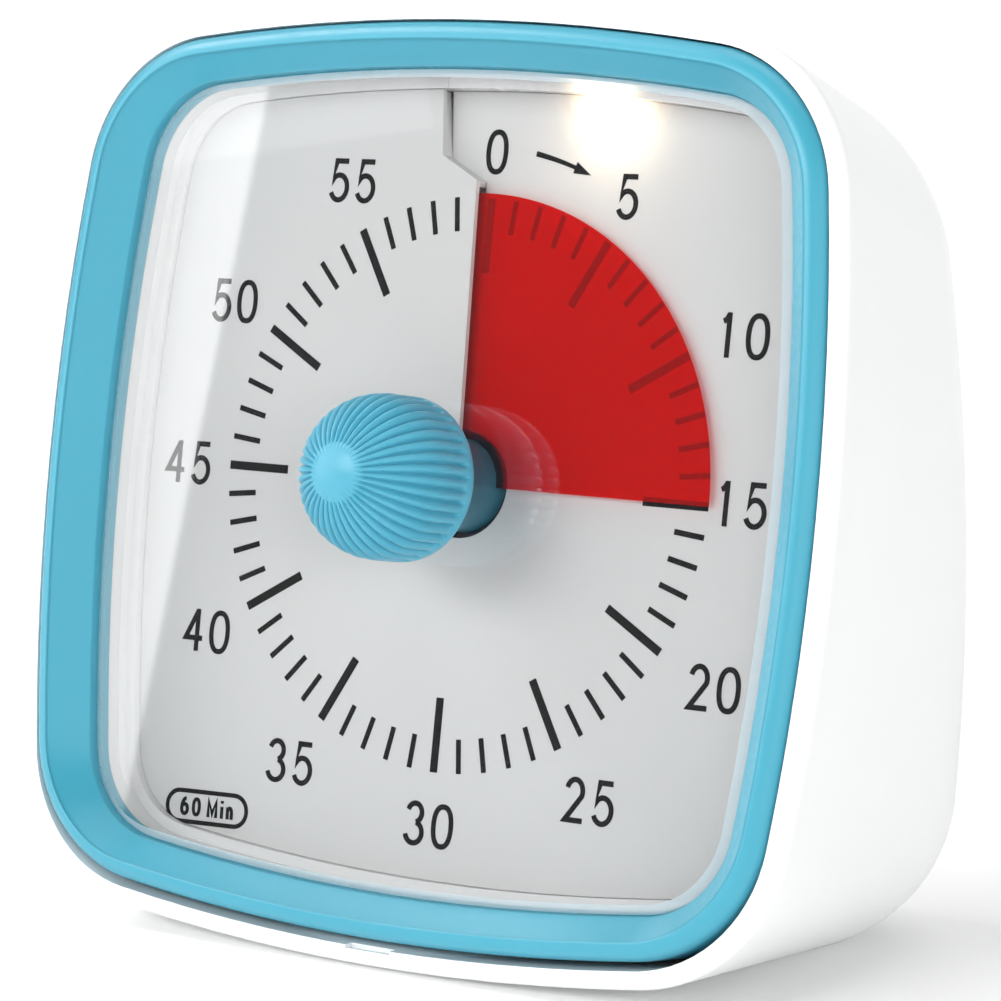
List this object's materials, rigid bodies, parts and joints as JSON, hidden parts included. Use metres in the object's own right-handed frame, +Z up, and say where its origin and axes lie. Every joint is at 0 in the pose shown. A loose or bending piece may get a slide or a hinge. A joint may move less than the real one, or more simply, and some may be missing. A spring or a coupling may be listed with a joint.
{
  "type": "visual countdown timer",
  "caption": "Free-standing visual countdown timer: rounded square body with a leaning dial, a red disc that shows the time left, a ribbed knob and a lamp.",
  "frame": {"origin": "on the underside of the flat base, straight below the middle of the dial", "axes": "+Z up; the dial and knob look towards -Y and lean back; +X to the right seen from the front"},
  "size_m": [0.0864, 0.0515, 0.0845],
  "materials": {
    "body_white": "satin moulded plastic",
    "tray_white": "smooth moulded plastic",
    "dial_white": "smooth printed plastic",
    "blue": "satin moulded plastic",
    "clear": "clear polished plastic",
    "milky_clear": "slightly milky clear plastic",
    "red": "smooth coloured sheet",
    "lamp_yellow": "moulded lamp body",
    "board_green": "lacquered circuit board",
    "dark_plastic": "moulded plastic",
    "gear_plastic": "natural moulded plastic",
    "brass": "turned",
    "steel": "plated",
    "copper": "enamelled winding",
    "battery_skin": "printed sleeve"
  },
  "bodies": {
    "case": {"housing": "body_white", "trim_ring": "blue", "window_lens": "clear", "dial_tray": "tray_white", "dial_plate": "dial_white", "light_guide": "milky_clear", "led": "lamp_yellow", "led_board": "board_green", "movement_front": "dark_plastic", "movement_back": "dark_plastic", "movement_screws": "steel", "stator": "steel", "motor_coil": "copper", "main_board": "board_green", "control_chip": "dark_plastic", "board_screws": "steel", "switch_body": "dark_plastic", "buzzer": "dark_plastic", "battery": "battery_skin", "battery_plate": "steel", "battery_spring": "steel", "case_screws": "steel"},
    "knob": {"knob": "blue", "centre_shaft": "brass", "clutch_spring": "steel", "shaft_clip": "steel"},
    "disc": {"time_disc": "red", "disc_hub": "blue"},
    "second_wheel": {"second_wheel": "gear_plastic"},
    "third_wheel": {"third_wheel": "gear_plastic"},
    "centre_wheel": {"centre_wheel": "brass"},
    "rotor": {"rotor": "gear_plastic"},
    "switch": {"switch_slider": "dark_plastic"},
    "door": {"battery_door": "body_white"}
  },
  "joints": [
    {"name": "knob_turn", "type": "hinge", "parent": "case", "child": "knob", "pos_m": [0, 0, 0.04154], "axis": [0, 0.9863, -0.165], "range_deg": [-90, 270]},
    {"name": "disc_rise", "type": "slide", "parent": "knob", "child": "disc", "axis": [0, -0.9863, 0.165], "range_m": [-0.0004, 0.0012]},
    {"name": "second_wheel_spin", "type": "hinge", "parent": "case", "child": "second_wheel", "pos_m": [-0.00499, 0.01164, 0.05231], "axis": [0, 0.9863, -0.165], "continuous": true},
    {"name": "rotor_spin", "type": "hinge", "parent": "case", "child": "rotor", "pos_m": [-0.01482, 0.0105, 0.04552], "axis": [0, 0.9863, -0.165], "continuous": true},
    {"name": "third_wheel_spin", "type": "hinge", "parent": "case", "child": "third_wheel", "pos_m": [0.007, 0.00999, 0.05216], "axis": [0, 0.9863, -0.165], "continuous": true},
    {"name": "centre_wheel_spin", "type": "hinge", "parent": "case", "child": "centre_wheel", "pos_m": [0, 0.00641, 0.04046], "axis": [0, 0.9863, -0.165], "continuous": true},
    {"name": "switch_slide", "type": "slide", "parent": "case", "child": "switch", "axis": [1, 0, 0], "range_m": [-0.002, 0.002]},
    {"name": "door_pull", "type": "slide", "parent": "case", "child": "door", "axis": [0, 0.9952, 0.0976], "range_m": [0, 0.012]}
  ],
  "couplings": [
    {"joint": "disc_rise", "follows": "knob_turn", "m_per_rad": 0.00025465},
    {"joint": "rotor_spin", "follows": "second_wheel_spin", "ratio": -5},
    {"joint": "third_wheel_spin", "follows": "second_wheel_spin", "ratio": -0.2},
    {"joint": "centre_wheel_spin", "follows": "second_wheel_spin", "ratio": 0.033333}
  ]
}
